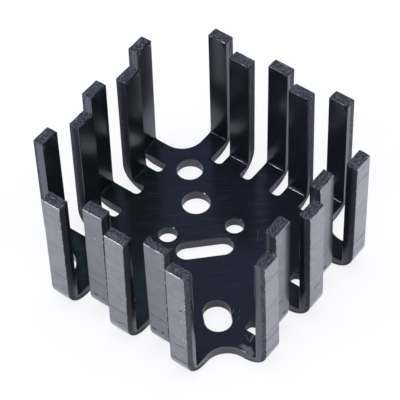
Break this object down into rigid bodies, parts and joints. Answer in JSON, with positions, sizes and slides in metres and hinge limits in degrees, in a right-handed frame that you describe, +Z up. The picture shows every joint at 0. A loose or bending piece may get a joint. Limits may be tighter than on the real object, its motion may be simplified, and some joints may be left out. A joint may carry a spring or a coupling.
{
  "type": "basket heat sink",
  "caption": "Square basket heat sink folded from one black anodised aluminium sheet, with upright fingers round a punched floor for a diamond-can power transistor.",
  "frame": {"origin": "middle of the floor's underside, where the basket stands", "axes": "+Z up along the fingers; X and Y square to the four rows of fingers; the transistor's long axis lies on the diagonal x = y, with the round screw hole towards +X +Y"},
  "size_m": [0.044, 0.044, 0.0254],
  "materials": {
    "anodised_aluminium": "black anodised, satin, with bare-looking grey sheared edges"
  },
  "bodies": {
    "root": {"heat_sink": "anodised_aluminium"}
  },
  "joints": []
}
